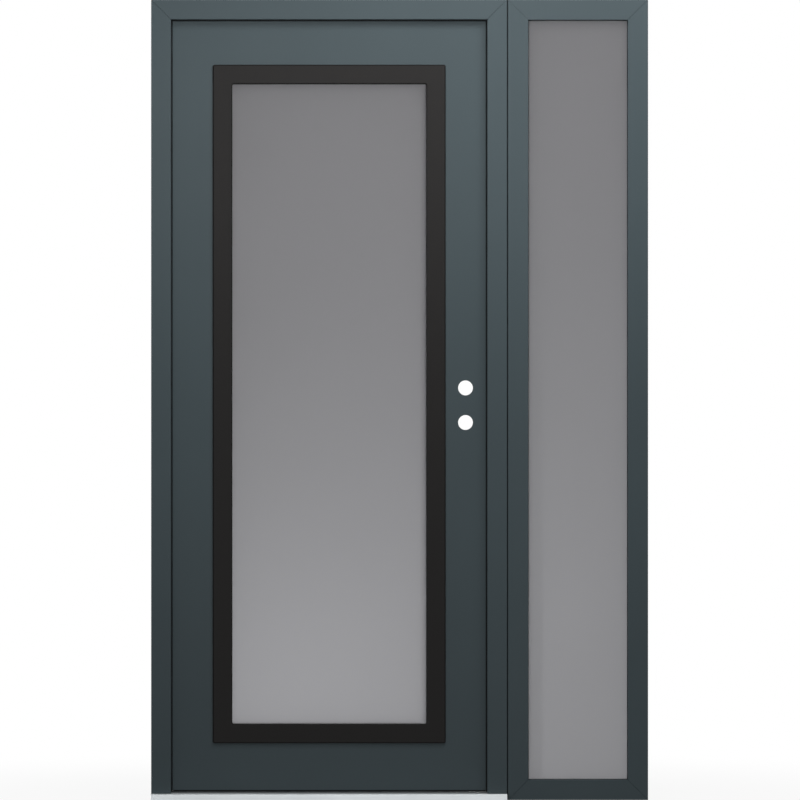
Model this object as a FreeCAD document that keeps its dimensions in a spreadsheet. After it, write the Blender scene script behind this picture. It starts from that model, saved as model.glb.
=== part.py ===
"""Entrance door unit: a glazed steel leaf in a hollow-profile frame, with one sidelight on its lock side.

Front (weather side) faces -Y, X runs to the right seen from outside, Z is up. The origin is on the floor
under the middle of the unit, halfway through the frame's depth. All sizes are in millimetres.
"""
import FreeCAD, Part
import os

import Sketcher

SIZES = (
    ("unit_height", 2032, "floor to the top of both frames"),
    ("door_frame_width", 903.4, "outside of hinge jamb to outside of lock jamb"),
    ("sidelight_width", 355.5, "outside to outside of the sidelight frame"),
    ("joint_width", 2.5, "joint between door frame and sidelight"),
    ("joint_recess", 4, "coupling strip set back from both faces"),
    ("frame_face", 50, "face width of the door frame's profile"),
    ("sidelight_face", 51.4, "face width of the sidelight's profile"),
    ("frame_wall", 2, "wall of the hollow frame profile"),
    ("screw_wall", 5, "thicker rebate wall that takes screws"),
    ("frame_radius", 1.2, "rounding of the profile's long edges"),
    ("stop_depth", 24, "depth of the stop, or glazing nib"),
    ("stop_height", 23, "stop above the rebate"),
    ("mitre_gap", 0.4, "joint line left at each mitre"),
    ("leaf_gap", 5, "leaf edge to hinge jamb and head"),
    ("lock_gap", 8, "leaf edge to lock jamb, for the swing of its far corner"),
    ("seal_space", 6, "back of stop to face of leaf"),
    ("seal_thickness", 5.2, "weather seal, across the seal space"),
    ("seal_lip", 3.6, "seal showing past the stop"),
    ("seal_root", 12, "seal held behind the stop"),
    ("seal_flat", 0.1, "flat left at the tip of the seal's nose"),
    ("sill_height", 16.5, "top of the sill under the jambs"),
    ("sill_nose", 25, "sill in front of the frame"),
    ("sill_wall", 2, "wall of the sill extrusion"),
    ("sill_radius", 3, "rounding of the sill nose"),
    ("saddle_rise", 2.4, "saddle tread above the sill"),
    ("saddle_edge", 1, "saddle at its thin front and back edges"),
    ("saddle_slope", 20, "depth of the saddle's sloping front"),
    ("rib_height", 0.8, "water rib above the saddle tread"),
    ("rib_depth", 3.5, "water rib, front to back"),
    ("groove_count", 5, "tread grooves in the saddle"),
    ("groove_pitch", 6, "spacing of the tread grooves"),
    ("groove_width", 2, "width of a tread groove"),
    ("groove_depth", 0.8, "depth of a tread groove"),
    ("leaf_clearance", 5.2, "saddle tread to the bottom of the leaf"),
    ("leaf_thickness", 60, "leaf over both skins"),
    ("skin", 1, "skin sheet"),
    ("skin_return", 15, "skin folded over the leaf's edges"),
    ("stile_width", 39, "edge stiles and rails inside the skins"),
    ("sweep_height", 4.5, "bottom sweep below the leaf"),
    ("sweep_width", 22, "bottom sweep, front to back"),
    ("sweep_sheet", 1.6, "sweep carrier and fins"),
    ("lite_hinge_margin", 123.9, "hinge edge of the leaf to the lite frame"),
    ("lite_lock_margin", 120.8, "lock edge of the leaf to the lite frame"),
    ("lite_rise", 119.1, "leaf bottom to lite frame bottom"),
    ("lite_drop", 132, "leaf top to lite frame top"),
    ("lite_face", 49.2, "face width of the lite frame"),
    ("lite_proud", 7, "lite frame above the skin"),
    ("lite_corner", 5, "outer corner radius of the lite frame"),
    ("sight_corner", 4, "corner radius of the lite frame's opening"),
    ("lite_bevel", 2.5, "bevel of the lite frame's front edges"),
    ("lite_lap", 24, "lite frame over the skin"),
    ("lite_fit", 1, "lite frame to the cut-out"),
    ("glass_fit", 5, "glass edge to its rebate or cut-out"),
    ("pane", 4, "thickness of one pane"),
    ("leaf_cavity", 20, "space between the leaf's panes"),
    ("sidelight_cavity", 16, "space between the sidelight's panes"),
    ("spacer_width", 8, "spacer bar, across the glass edge"),
    ("gasket", 3, "glazing gasket thickness"),
    ("gasket_lip", 1.2, "outer gasket showing past the nib"),
    ("bead_depth", 24, "glazing bead, front to back"),
    ("bead_land", 9, "square part of the bead by the glass"),
    ("bead_slope", 7, "slope of the bead's inside edge"),
    ("bead_wall", 1.6, "wall of the hollow bead"),
    ("bore_radius", 19.05, "lock bores through the leaf"),
    ("bore_backset", 69.85, "lock edge of the leaf to the bores"),
    ("handle_height", 1046.5, "upper bore above the floor"),
    ("bore_spacing", 88.1, "upper bore to lower bore"),
    ("block_height", 260, "lock block"),
    ("latch_radius", 12.7, "latch bores from the lock edge into the lock bores"),
    ("face_plate_width", 25.4, "recess for a latch's face plate"),
    ("face_plate_height", 57, "recess for a latch's face plate"),
    ("face_plate_depth", 3, "recess for a latch's face plate"),
    ("strike_width", 24, "bolt pockets in the lock jamb"),
    ("strike_height", 44, "bolt pockets in the lock jamb"),
    ("hinge_height", 100, "hinge plates and barrel"),
    ("hinge_top", 178, "leaf top to the top hinge"),
    ("hinge_bottom", 279, "leaf bottom to the bottom hinge"),
    ("hinge_plate", 2.5, "thickness of a hinge plate"),
    ("hinge_seat", 32, "hinge plate let into the edge"),
    ("hinge_seat_fit", 0.3, "hinge plate to the ends of its seat"),
    ("barrel_radius", 7, "hinge knuckles"),
    ("barrel_stand", 0.5, "barrel off the inside face"),
    ("knuckle_gap", 0.4, "between two knuckles"),
    ("pin_radius", 3.5, "hinge pin"),
    ("pin_fit", 0.05, "pin in its knuckles, on the radius"),
    ("pin_head_radius", 6.2, "tapered button at each end of the pin"),
    ("pin_head", 3, "height of the button"),
    ("cut_margin", 5, "how far a cut runs past what it cuts"),
)

doc = FreeCAD.newDocument("entrance_door")
sheet = doc.addObject("Spreadsheet::Sheet", "Sizes")
for row, (alias, size, meaning) in enumerate(SIZES, start=1):
    sheet.set(f"A{row}", meaning)
    sheet.set(f"B{row}", str(size))
    sheet.setAlias(f"B{row}", alias)
doc.recompute()

# Places and sizes that follow from the sheet, as expressions.
LEFT = "(-(Sizes.door_frame_width + Sizes.joint_width + Sizes.sidelight_width) / 2)"
JOINT = f"({LEFT} + Sizes.door_frame_width)"
SIDELIGHT = f"({JOINT} + Sizes.joint_width)"
RIGHT = f"({SIDELIGHT} + Sizes.sidelight_width)"
FRAME_DEPTH = "(Sizes.stop_depth + Sizes.seal_space + Sizes.leaf_thickness)"
FRONT = f"(-{FRAME_DEPTH} / 2)"
INSIDE = f"({FRAME_DEPTH} / 2)"
TOP = "Sizes.unit_height"
JAMB_BODY = "(Sizes.frame_face - Sizes.stop_height)"
SIDELIGHT_BODY = "(Sizes.sidelight_face - Sizes.stop_height)"

LEAF_LEFT = f"({LEFT} + {JAMB_BODY} + Sizes.leaf_gap)"
LEAF_RIGHT = f"({JOINT} - {JAMB_BODY} - Sizes.lock_gap)"
LEAF_WIDTH = f"({LEAF_RIGHT} - {LEAF_LEFT})"
LEAF_BOTTOM = "(Sizes.sill_height + Sizes.saddle_rise + Sizes.leaf_clearance)"
LEAF_TOP = f"({TOP} - {JAMB_BODY} - Sizes.leaf_gap)"
LEAF_HEIGHT = f"({LEAF_TOP} - {LEAF_BOTTOM})"
LEAF_FRONT = f"({FRONT} + Sizes.stop_depth + Sizes.seal_space)"
LEAF_BACK = f"({LEAF_FRONT} + Sizes.leaf_thickness)"
LEAF_MIDDLE = f"({LEAF_FRONT} + Sizes.leaf_thickness / 2)"

LITE_WIDTH = f"({LEAF_WIDTH} - Sizes.lite_hinge_margin - Sizes.lite_lock_margin)"
LITE_HEIGHT = f"({LEAF_HEIGHT} - Sizes.lite_rise - Sizes.lite_drop)"
CUT_X = "(Sizes.lite_hinge_margin + Sizes.lite_lap)"
CUT_Z = "(Sizes.lite_rise + Sizes.lite_lap)"
CUT_WIDTH = f"({LITE_WIDTH} - 2 * Sizes.lite_lap)"
CUT_HEIGHT = f"({LITE_HEIGHT} - 2 * Sizes.lite_lap)"
CUT_RIGHT = f"({CUT_X} + {CUT_WIDTH})"
CUT_TOP = f"({CUT_Z} + {CUT_HEIGHT})"
LEAF_UNIT = "(2 * Sizes.pane + Sizes.leaf_cavity)"
BORE_X = f"({LEAF_WIDTH} - Sizes.bore_backset)"
BORE_HEIGHTS = ("Sizes.handle_height", "(Sizes.handle_height - Sizes.bore_spacing)")
CORE_EDGE = "(Sizes.skin + Sizes.stile_width)"

GLASS_Y = f"({FRONT} + Sizes.stop_depth + Sizes.gasket)"
SIDELIGHT_UNIT = "(2 * Sizes.pane + Sizes.sidelight_cavity)"
GLASS_INSET = f"({SIDELIGHT_BODY} + Sizes.glass_fit)"

AXIS_X = f"({LEAF_LEFT} - Sizes.leaf_gap / 2)"
AXIS_Y = f"({INSIDE} + Sizes.barrel_radius + Sizes.barrel_stand)"
KNUCKLE = "(Sizes.hinge_height / 5)"
HINGE_FOOT = {
    "top": f"({LEAF_TOP} - Sizes.hinge_top - Sizes.hinge_height)",
    "bottom": f"({LEAF_BOTTOM} + Sizes.hinge_bottom)",
}
HINGE_FOOT["middle"] = f"(({HINGE_FOOT['top']} + {HINGE_FOOT['bottom']}) / 2)"

nodes = []


def value(expression):
    """The number an expression gives now."""
    return float(sheet.evalExpression(expression))


def new_body(label, x="0", y="0", z="0", turn=0):
    """A body for one node, standing at (x, y, z) and turned about Y by a quarter-turn angle in degrees."""
    body = doc.addObject("PartDesign::Body", label)
    body.Label = label
    body.Placement.Rotation = FreeCAD.Rotation(FreeCAD.Vector(0, 1, 0), turn)
    for axis, expression in zip("xyz", (x, y, z)):
        body.setExpression(f"Placement.Base.{axis}", expression)
    nodes.append(body)
    return body


def new_box(label, corner, size):
    """A plain rectangular node from its lowest corner and its size along X, Y and Z."""
    box = doc.addObject("Part::Box", label)
    box.Label = label
    for axis, expression in zip("xyz", corner):
        box.setExpression(f"Placement.Base.{axis}", expression)
    for side, expression in zip(("Length", "Width", "Height"), size):
        box.setExpression(side, expression)
    nodes.append(box)
    return box


def new_sketch(body, plane, offset="0"):
    """An empty sketch on one of the body's origin planes, moved along that plane's normal."""
    sketch = body.newObject("Sketcher::SketchObject", f"{body.Name}_sketch")
    support = next(f for f in body.Origin.OriginFeatures if f.Role == plane)
    sketch.AttachmentSupport = [(support, "")]
    sketch.MapMode = "FlatFace"
    sketch.setExpression("AttachmentOffset.Base.z", offset)
    return sketch


def fix_point(sketch, geometry, position, x, y):
    """Holds a point of a sketch at a pair of expressions."""
    for kind, expression in (("DistanceX", x), ("DistanceY", y)):
        fixed = Sketcher.Constraint(kind, -1, 1, geometry, position, value(expression))
        index = sketch.addConstraint(fixed)
        sketch.setExpression(f"Constraints[{index}]", expression)


def draw_outline(sketch, corners):
    """Draws a closed outline through corners given as pairs of expressions."""
    points = [FreeCAD.Vector(value(x), value(y), 0) for x, y in corners]
    first = sketch.GeometryCount
    for start, end in zip(points, points[1:] + points[:1]):
        sketch.addGeometry(Part.LineSegment(start, end), False)
    for side in range(len(points)):
        after = first + (side + 1) % len(points)
        sketch.addConstraint(Sketcher.Constraint("Coincident", first + side, 2, after, 1))
        fix_point(sketch, first + side, 1, *corners[side])


def draw_box(sketch, x, y, width, height):
    """Draws a rectangle from its lower left corner and its two sides."""
    right = f"{x} + {width}"
    upper = f"{y} + {height}"
    draw_outline(sketch, ((x, y), (right, y), (right, upper), (x, upper)))


def draw_circle(sketch, x, y, radius):
    """Draws a circle."""
    centre = FreeCAD.Vector(value(x), value(y), 0)
    circle = sketch.addGeometry(Part.Circle(centre, FreeCAD.Vector(0, 0, 1), value(radius)), False)
    fix_point(sketch, circle, 3, x, y)
    index = sketch.addConstraint(Sketcher.Constraint("Radius", circle, value(radius)))
    sketch.setExpression(f"Constraints[{index}]", radius)


def pad(body, sketch, length, reverse=False):
    """Adds the sketch's area, pulled out by a length."""
    feature = body.newObject("PartDesign::Pad", f"{body.Name}_pad")
    feature.Profile = sketch
    feature.setExpression("Length", length)
    feature.Reversed = reverse
    sketch.Visibility = False
    doc.recompute()
    return feature


def cut(body, sketch, depth=None, reverse=False):
    """Takes the sketch's area away, right through both ways or to a depth."""
    before = body.Tip.Shape.Volume
    feature = body.newObject("PartDesign::Pocket", f"{body.Name}_cut")
    feature.Profile = sketch
    if depth is None:
        feature.Type = "ThroughAll"
        feature.SideType = "Symmetric"
    else:
        feature.setExpression("Length", depth)
        feature.Reversed = reverse
    sketch.Visibility = False
    doc.recompute()
    if not feature.Shape.Volume < before:
        raise RuntimeError(f"{body.Label}: a cut took nothing away")
    return feature


def picked_edges(shape, wanted):
    """The names of the straight edges of a shape whose middle point and direction are wanted."""
    names = []
    for number, edge in enumerate(shape.Edges, start=1):
        if edge.Curve.TypeId != "Part::GeomLine":
            continue
        middle = edge.valueAt((edge.FirstParameter + edge.LastParameter) / 2)
        if wanted(middle, edge.tangentAt(edge.FirstParameter)):
            names.append(f"Edge{number}")
    return names


def round_edges(body, radius, wanted):
    """Rounds the wanted straight edges of the body so far."""
    base = body.Tip
    feature = body.newObject("PartDesign::Fillet", f"{body.Name}_round")
    feature.Base = (base, picked_edges(base.Shape, wanted))
    feature.setExpression("Radius", radius)
    doc.recompute()


def bevel_edges(body, size, wanted):
    """Bevels the wanted straight edges of the body so far, and the arcs that join them."""
    base = body.Tip
    feature = body.newObject("PartDesign::Chamfer", f"{body.Name}_bevel")
    feature.Base = (base, picked_edges(base.Shape, wanted))
    feature.setExpression("Size", size)
    doc.recompute()


def round_long_edges(body, radius, corners):
    """Rounds the edges along Z that stand at the given (x, y) corners of the profile."""
    places = [FreeCAD.Vector(value(x), value(y), 0) for x, y in corners]

    def wanted(middle, direction):
        flat = FreeCAD.Vector(middle.x, middle.y, 0)
        return abs(direction.z) > 0.99 and any(flat.isEqual(place, 1e-4) for place in places)

    round_edges(body, radius, wanted)


def cut_mitres(body, length, reach, start, end):
    """Cuts 45-degree mitres through the frame's outer corner at the start and the end of a member."""
    low = "-Sizes.cut_margin"
    far = f"({reach} + Sizes.cut_margin)"
    gap = "Sizes.mitre_gap / 2 * sqrt(2)"
    sketch = new_sketch(body, "XZ_Plane")
    if start:
        draw_outline(sketch, ((low, f"{low} + {gap}"), (far, f"{low} + {gap}"), (far, f"{far} + {gap}")))
    if end:
        above = f"{length} + Sizes.cut_margin - {gap}"
        below = f"{length} - {far} - {gap}"
        draw_outline(sketch, ((low, above), (far, below), (far, above)))
    cut(body, sketch)


# The four sides of a frame as quarter turns about Y: a member starts at an outer corner, its width runs
# towards the opening and its depth to the inside.
UP, ALONG_TOP, DOWN, ALONG_BOTTOM = 0, 90, 180, 270


def frame_member(label, side, x, z, length, face="Sizes.frame_face", start=True, end=True):
    """One length of a hollow frame profile with its stop, mitred where it meets another."""
    body = new_body(label, x, FRONT, z, side)
    sketch = new_sketch(body, "XY_Plane")
    depth, wall = FRAME_DEPTH, "Sizes.frame_wall"
    rebate = f"({face} - Sizes.stop_height)"
    draw_outline(
        sketch,
        (
            ("0", "0"),
            (face, "0"),
            (face, "Sizes.stop_depth"),
            (rebate, "Sizes.stop_depth"),
            (rebate, depth),
            ("0", depth),
        ),
    )
    draw_box(sketch, wall, wall, f"{face} - 2 * {wall}", f"Sizes.stop_depth - 2 * {wall}")
    rear = f"{depth} - Sizes.stop_depth - {wall}"
    draw_box(sketch, wall, "Sizes.stop_depth", f"{rebate} - {wall} - Sizes.screw_wall", rear)
    pad(body, sketch, length)
    rounded = (("0", "0"), (face, "0"), (face, "Sizes.stop_depth"), (rebate, depth), ("0", depth))
    round_long_edges(body, "Sizes.frame_radius", rounded)
    cut_mitres(body, length, face, start, end)
    return body


def seal_strip(label, side, x, z, length, start, end):
    """A weather seal with a rounded nose, held behind a stop and showing past it."""
    body = new_body(label, x, FRONT, z, side)
    sketch = new_sketch(body, "XY_Plane")
    root = "(Sizes.frame_face - Sizes.seal_root)"
    tip = "(Sizes.frame_face + Sizes.seal_lip)"
    draw_box(sketch, root, "Sizes.stop_depth", f"{tip} - {root}", "Sizes.seal_thickness")
    pad(body, sketch, length)
    nose = ((tip, "Sizes.stop_depth"), (tip, "Sizes.stop_depth + Sizes.seal_thickness"))
    round_long_edges(body, "(Sizes.seal_thickness - Sizes.seal_flat) / 2", nose)
    cut_mitres(body, length, tip, start, end)
    return body


def glazing_bead(label, side, x, z, length):
    """A hollow inside bead with a sloping edge, mitred at both ends."""
    body = new_body(label, x, FRONT, z, side)
    sketch = new_sketch(body, "XY_Plane")
    face, wall = "Sizes.sidelight_face", "Sizes.bead_wall"
    near = f"(Sizes.stop_depth + 2 * Sizes.gasket + {SIDELIGHT_UNIT})"
    back = f"({near} + Sizes.bead_depth)"
    draw_outline(
        sketch,
        (
            (SIDELIGHT_BODY, near),
            (face, near),
            (face, f"{near} + Sizes.bead_land"),
            (f"{face} - Sizes.bead_slope", back),
            (SIDELIGHT_BODY, back),
        ),
    )
    width = f"{face} - {SIDELIGHT_BODY} - Sizes.bead_slope - 2 * {wall}"
    depth = f"Sizes.bead_depth - 2 * {wall}"
    draw_box(sketch, f"{SIDELIGHT_BODY} + {wall}", f"{near} + {wall}", width, depth)
    pad(body, sketch, length)
    cut_mitres(body, length, face, True, True)
    return body


def flat_ring(label, corner, size, band, thickness):
    """A flat rectangular ring in the plane of the door, given by its low corner and outer size."""
    body = new_body(label, *corner)
    sketch = new_sketch(body, "XZ_Plane")
    width, height = size
    draw_box(sketch, "0", "0", width, height)
    draw_box(sketch, band, band, f"{width} - 2 * {band}", f"{height} - 2 * {band}")
    pad(body, sketch, thickness, reverse=True)
    return body


# Door frame: the sill runs under both jambs, the saddle is let in between them.
sill = new_body("door_sill", LEFT, FRONT, "0")
sketch = new_sketch(sill, "YZ_Plane")
chambers = 3
sill_depth = f"Sizes.sill_nose + {FRAME_DEPTH}"
draw_box(sketch, "-Sizes.sill_nose", "0", sill_depth, "Sizes.sill_height")
chamber = f"(({sill_depth} - Sizes.sill_wall * {chambers + 1}) / {chambers})"
for number in range(chambers):
    start = f"-Sizes.sill_nose + Sizes.sill_wall + {number} * ({chamber} + Sizes.sill_wall)"
    draw_box(sketch, start, "Sizes.sill_wall", chamber, "Sizes.sill_height - 2 * Sizes.sill_wall")
pad(sill, sketch, "Sizes.door_frame_width")


def sill_nose(middle, direction):
    top = abs(middle.z - value("Sizes.sill_height")) < 1e-4
    return abs(direction.x) > 0.99 and top


round_edges(sill, "Sizes.sill_radius", sill_nose)

saddle = new_body("sill_saddle", f"{LEFT} + {JAMB_BODY}", FRONT, "Sizes.sill_height")
sketch = new_sketch(saddle, "YZ_Plane")
saddle_length = f"(Sizes.door_frame_width - 2 * {JAMB_BODY})"
rib_back = "Sizes.stop_depth"
rib_front = "(Sizes.stop_depth - Sizes.rib_depth)"
rib_top = "(Sizes.saddle_rise + Sizes.rib_height)"
draw_outline(
    sketch,
    (
        ("0", "0"),
        (FRAME_DEPTH, "0"),
        (FRAME_DEPTH, "Sizes.saddle_edge"),
        (f"{FRAME_DEPTH} - Sizes.saddle_slope", "Sizes.saddle_rise"),
        (rib_back, "Sizes.saddle_rise"),
        (rib_back, rib_top),
        (rib_front, rib_top),
        ("0", "Sizes.saddle_edge"),
    ),
)
pad(saddle, sketch, saddle_length)
sketch = new_sketch(saddle, "XY_Plane")
notch = "Sizes.stop_height + Sizes.cut_margin"
for start in ("-Sizes.cut_margin", f"{saddle_length} - Sizes.stop_height"):
    draw_box(sketch, start, "-Sizes.cut_margin", notch, "Sizes.stop_depth + Sizes.cut_margin")
cut(saddle, sketch)
sketch = new_sketch(saddle, "YZ_Plane", "-Sizes.cut_margin")
tread = f"({FRAME_DEPTH} - Sizes.saddle_slope - Sizes.groove_pitch)"
draw_box(sketch, f"{tread} - Sizes.groove_width", "Sizes.saddle_rise - Sizes.groove_depth",
         "Sizes.groove_width", "Sizes.groove_depth + Sizes.cut_margin")
groove = cut(saddle, sketch, f"{saddle_length} + 2 * Sizes.cut_margin", reverse=True)
row_of_grooves = saddle.newObject("PartDesign::LinearPattern", "saddle_grooves")
row_of_grooves.Originals = [groove]
row_of_grooves.Direction = (sketch, ["H_Axis"])
row_of_grooves.Reversed = True
row_of_grooves.setExpression("Length", "Sizes.groove_pitch * (Sizes.groove_count - 1)")
row_of_grooves.setExpression("Occurrences", "Sizes.groove_count")
saddle.Tip = row_of_grooves

jamb_length = f"({TOP} - Sizes.sill_height)"
hinge_jamb = frame_member("hinge_jamb", UP, LEFT, "Sizes.sill_height", jamb_length, start=False)
frame_member("door_head", ALONG_TOP, LEFT, TOP, "Sizes.door_frame_width")
lock_jamb = frame_member("lock_jamb", DOWN, JOINT, TOP, jamb_length, end=False)
sketch = new_sketch(lock_jamb, "YZ_Plane", JAMB_BODY)
for height in BORE_HEIGHTS:
    back = f"{LEAF_MIDDLE} - {FRONT} - Sizes.strike_width / 2"
    high = f"{TOP} - ({height}) - Sizes.strike_height / 2"
    draw_box(sketch, back, high, "Sizes.strike_width", "Sizes.strike_height")
cut(lock_jamb, sketch, "Sizes.screw_wall")

seal_foot = "(Sizes.sill_height + Sizes.saddle_rise)"
seal_length = f"({TOP} - {seal_foot})"
seal_strip("hinge_side_seal", UP, LEFT, seal_foot, seal_length, False, True)
seal_strip("head_seal", ALONG_TOP, LEFT, TOP, "Sizes.door_frame_width", True, True)
seal_strip("lock_side_seal", DOWN, JOINT, TOP, seal_length, True, False)

strip_corner = (JOINT, f"{FRONT} + Sizes.joint_recess", "0")
strip_size = ("Sizes.joint_width", f"{FRAME_DEPTH} - 2 * Sizes.joint_recess", TOP)
new_box("coupling_strip", strip_corner, strip_size)

# Sidelight: four mitred members, a double-glazed unit between two gaskets, and beads from the inside.
sides = (
    ("left_stile", UP, SIDELIGHT, "0", TOP),
    ("top_rail", ALONG_TOP, SIDELIGHT, TOP, "Sizes.sidelight_width"),
    ("right_stile", DOWN, RIGHT, TOP, TOP),
    ("bottom_rail", ALONG_BOTTOM, RIGHT, "0", "Sizes.sidelight_width"),
)
for name, side, x, z, length in sides:
    frame_member(f"sidelight_{name}", side, x, z, length, "Sizes.sidelight_face")
    glazing_bead(f"sidelight_{name}_bead", side, x, z, length)

glass_x = f"{SIDELIGHT} + {GLASS_INSET}"
glass_width = f"(Sizes.sidelight_width - 2 * {GLASS_INSET})"
glass_height = f"({TOP} - 2 * {GLASS_INSET})"
glass_size = (glass_width, "Sizes.pane", glass_height)
inner_pane_y = f"{GLASS_Y} + Sizes.pane + Sizes.sidelight_cavity"
new_box("sidelight_outer_pane", (glass_x, GLASS_Y, GLASS_INSET), glass_size)
new_box("sidelight_inner_pane", (glass_x, inner_pane_y, GLASS_INSET), glass_size)
flat_ring("sidelight_spacer", (glass_x, f"{GLASS_Y} + Sizes.pane", GLASS_INSET),
          (glass_width, glass_height), "Sizes.spacer_width", "Sizes.sidelight_cavity")
gasket_band = "(Sizes.stop_height + Sizes.gasket_lip - Sizes.glass_fit)"
flat_ring("sidelight_outer_gasket", (glass_x, f"{FRONT} + Sizes.stop_depth", GLASS_INSET),
          (glass_width, glass_height), gasket_band, "Sizes.gasket")
flat_ring("sidelight_inner_gasket", (glass_x, f"{GLASS_Y} + {SIDELIGHT_UNIT}", GLASS_INSET),
          (glass_width, glass_height), f"({gasket_band} - Sizes.gasket_lip)", "Sizes.gasket")

# Leaf: two pressed skins folded over a ring of stiles and rails, with a core and a lock block between them.
def leaf_skin(label, y, back):
    """A skin with its edges folded inwards, cut for the lite and for the lock bores."""
    body = new_body(label, LEAF_LEFT, y, LEAF_BOTTOM)
    plane = new_sketch(body, "XZ_Plane")
    draw_box(plane, "0", "0", LEAF_WIDTH, LEAF_HEIGHT)
    pad(body, plane, "Sizes.skin_return", reverse=not back)
    plane = new_sketch(body, "XZ_Plane", "Sizes.skin_return" if back else "-Sizes.skin_return")
    edges = "2 * Sizes.skin"
    draw_box(plane, "Sizes.skin", "Sizes.skin", f"{LEAF_WIDTH} - {edges}", f"{LEAF_HEIGHT} - {edges}")
    cut(body, plane, "Sizes.skin_return - Sizes.skin", reverse=not back)
    plane = new_sketch(body, "XZ_Plane")
    draw_box(plane, CUT_X, CUT_Z, CUT_WIDTH, CUT_HEIGHT)
    for height in BORE_HEIGHTS:
        draw_circle(plane, BORE_X, f"{height} - {LEAF_BOTTOM}", "Sizes.bore_radius")
    cut(body, plane)
    return body


leaf_skin("outer_skin", LEAF_FRONT, False)
inner_skin = leaf_skin("inner_skin", LEAF_BACK, True)

core_y = f"({LEAF_FRONT} + Sizes.skin)"
core_depth = "(Sizes.leaf_thickness - 2 * Sizes.skin)"
stile_height = f"({LEAF_HEIGHT} - 2 * Sizes.skin)"
stile_z = f"({LEAF_BOTTOM} + Sizes.skin)"
core_width = f"({LEAF_WIDTH} - 2 * {CORE_EDGE})"
core_height = f"({LEAF_HEIGHT} - 2 * {CORE_EDGE})"
hinge_stile = new_body("hinge_stile", f"{LEAF_LEFT} + Sizes.skin", core_y, stile_z)
sketch = new_sketch(hinge_stile, "XY_Plane")
draw_box(sketch, "0", "0", "Sizes.stile_width", core_depth)
pad(hinge_stile, sketch, stile_height)
lock_stile = new_body("lock_stile", f"{LEAF_RIGHT} - {CORE_EDGE}", core_y, stile_z)
sketch = new_sketch(lock_stile, "XY_Plane")
draw_box(sketch, "0", "0", "Sizes.stile_width", core_depth)
pad(lock_stile, sketch, stile_height)
rail_size = (core_width, core_depth, "Sizes.stile_width")
new_box("top_rail", (f"{LEAF_LEFT} + {CORE_EDGE}", core_y, f"{LEAF_TOP} - {CORE_EDGE}"), rail_size)
new_box("bottom_rail", (f"{LEAF_LEFT} + {CORE_EDGE}", core_y, stile_z), rail_size)

block_width = f"({LEAF_WIDTH} - {CORE_EDGE} - {CUT_RIGHT})"
block_foot = "(Sizes.handle_height - (Sizes.bore_spacing + Sizes.block_height) / 2)"
block = new_body("lock_block", f"{LEAF_LEFT} + {CUT_RIGHT}", core_y, block_foot)
sketch = new_sketch(block, "XZ_Plane")
draw_box(sketch, "0", "0", block_width, "Sizes.block_height")
for height in BORE_HEIGHTS:
    draw_circle(sketch, f"{BORE_X} - {CUT_RIGHT}", f"{height} - {block_foot}", "Sizes.bore_radius")
pad(block, sketch, core_depth, reverse=True)


def cut_latch_bores(body, foot, depth_middle):
    """Bores a body along X for the latches, level with the lock bores and halfway through the leaf."""
    plane = new_sketch(body, "YZ_Plane", "-Sizes.cut_margin")
    for height in BORE_HEIGHTS:
        draw_circle(plane, depth_middle, f"{height} - {foot}", "Sizes.latch_radius")
    return plane


core_middle = f"({core_depth} / 2)"
bores = cut_latch_bores(lock_stile, stile_z, core_middle)
cut(lock_stile, bores, "Sizes.stile_width + 2 * Sizes.cut_margin", reverse=True)
sketch = new_sketch(lock_stile, "YZ_Plane", "Sizes.stile_width")
for height in BORE_HEIGHTS:
    left = f"{core_middle} - Sizes.face_plate_width / 2"
    low = f"{height} - {stile_z} - Sizes.face_plate_height / 2"
    draw_box(sketch, left, low, "Sizes.face_plate_width", "Sizes.face_plate_height")
cut(lock_stile, sketch, "Sizes.face_plate_depth")
bores = cut_latch_bores(block, block_foot, core_middle)
bores.setExpression("AttachmentOffset.Base.z", f"{BORE_X} - {CUT_RIGHT}")
cut(block, bores, block_width, reverse=True)

core = new_body("leaf_core", LEAF_LEFT, core_y, LEAF_BOTTOM)
sketch = new_sketch(core, "XZ_Plane")
core_right = f"({LEAF_WIDTH} - {CORE_EDGE})"
core_top = f"({LEAF_HEIGHT} - {CORE_EDGE})"
block_low = f"({block_foot} - {LEAF_BOTTOM})"
block_high = f"({block_low} + Sizes.block_height)"
draw_outline(
    sketch,
    (
        (CORE_EDGE, CORE_EDGE),
        (core_right, CORE_EDGE),
        (core_right, block_low),
        (CUT_RIGHT, block_low),
        (CUT_RIGHT, CUT_Z),
        (CUT_X, CUT_Z),
        (CUT_X, CUT_TOP),
        (CUT_RIGHT, CUT_TOP),
        (CUT_RIGHT, block_high),
        (core_right, block_high),
        (core_right, core_top),
        (CORE_EDGE, core_top),
    ),
)
pad(core, sketch, core_depth, reverse=True)

unit_y = f"({LEAF_MIDDLE} - {LEAF_UNIT} / 2)"
unit_x = f"({CUT_X} + Sizes.glass_fit)"
unit_z = f"({CUT_Z} + Sizes.glass_fit)"
unit_corner = (f"{LEAF_LEFT} + {unit_x}", unit_y, f"{LEAF_BOTTOM} + {unit_z}")
unit_width = f"({CUT_WIDTH} - 2 * Sizes.glass_fit)"
unit_height = f"({CUT_HEIGHT} - 2 * Sizes.glass_fit)"
pane_size = (unit_width, "Sizes.pane", unit_height)
new_box("lite_outer_pane", unit_corner, pane_size)
far_pane = f"{unit_y} + Sizes.pane + Sizes.leaf_cavity"
new_box("lite_inner_pane", (unit_corner[0], far_pane, unit_corner[2]), pane_size)
flat_ring("lite_spacer", (unit_corner[0], f"{unit_y} + Sizes.pane", unit_corner[2]),
          (unit_width, unit_height), "Sizes.spacer_width", "Sizes.leaf_cavity")


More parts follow.
